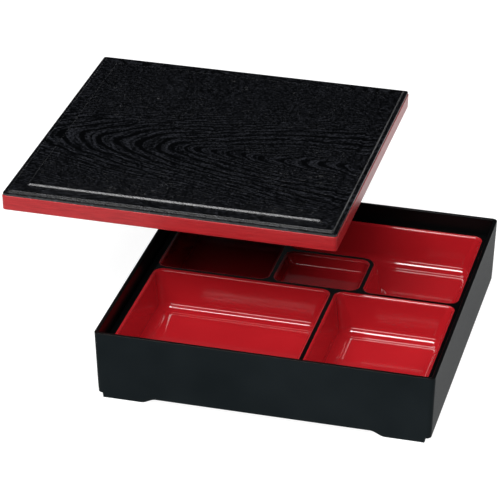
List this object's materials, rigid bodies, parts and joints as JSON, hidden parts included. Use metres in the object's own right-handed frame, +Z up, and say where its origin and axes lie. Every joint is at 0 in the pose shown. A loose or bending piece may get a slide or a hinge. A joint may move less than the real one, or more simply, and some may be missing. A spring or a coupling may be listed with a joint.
{
  "type": "bento lunch box",
  "caption": "Square lunch box on low corner feet, with a one-piece divider tray of sunken food wells and a shallow framed lid lifted off and held above it.",
  "frame": {"origin": "centre of the underside of the outer box's floor, 7.8 mm above the surface the feet stand on", "axes": "+Z up, +X along the front wall towards the narrow front well, -Y out of the front wall; the lid is held up and to the left and back, parallel to the box"},
  "size_m": [0.3771, 0.3751, 0.1199],
  "materials": {
    "black_lacquer": "satin black lacquer, fine cloth-like texture outside, smooth inside",
    "red_lacquer": "glossy vermilion wells; the flat top between the wells is gloss black",
    "black_wood_grain": "satin black with moulded wood grain on top, red lacquer on the side band"
  },
  "bodies": {
    "box": {"outer_box": "black_lacquer"},
    "tray": {"divider_tray": "red_lacquer"},
    "lid": {"lid": "black_wood_grain"}
  },
  "joints": [
    {"name": "tray_lift", "type": "slide", "parent": "box", "child": "tray", "axis": [0, 0, 1], "range_m": [0, 0.06]},
    {"name": "lid_close", "type": "slide", "parent": "tray", "child": "lid", "axis": [0.6744, -0.6613, -0.3284], "range_m": [0, 0.1531]}
  ]
}
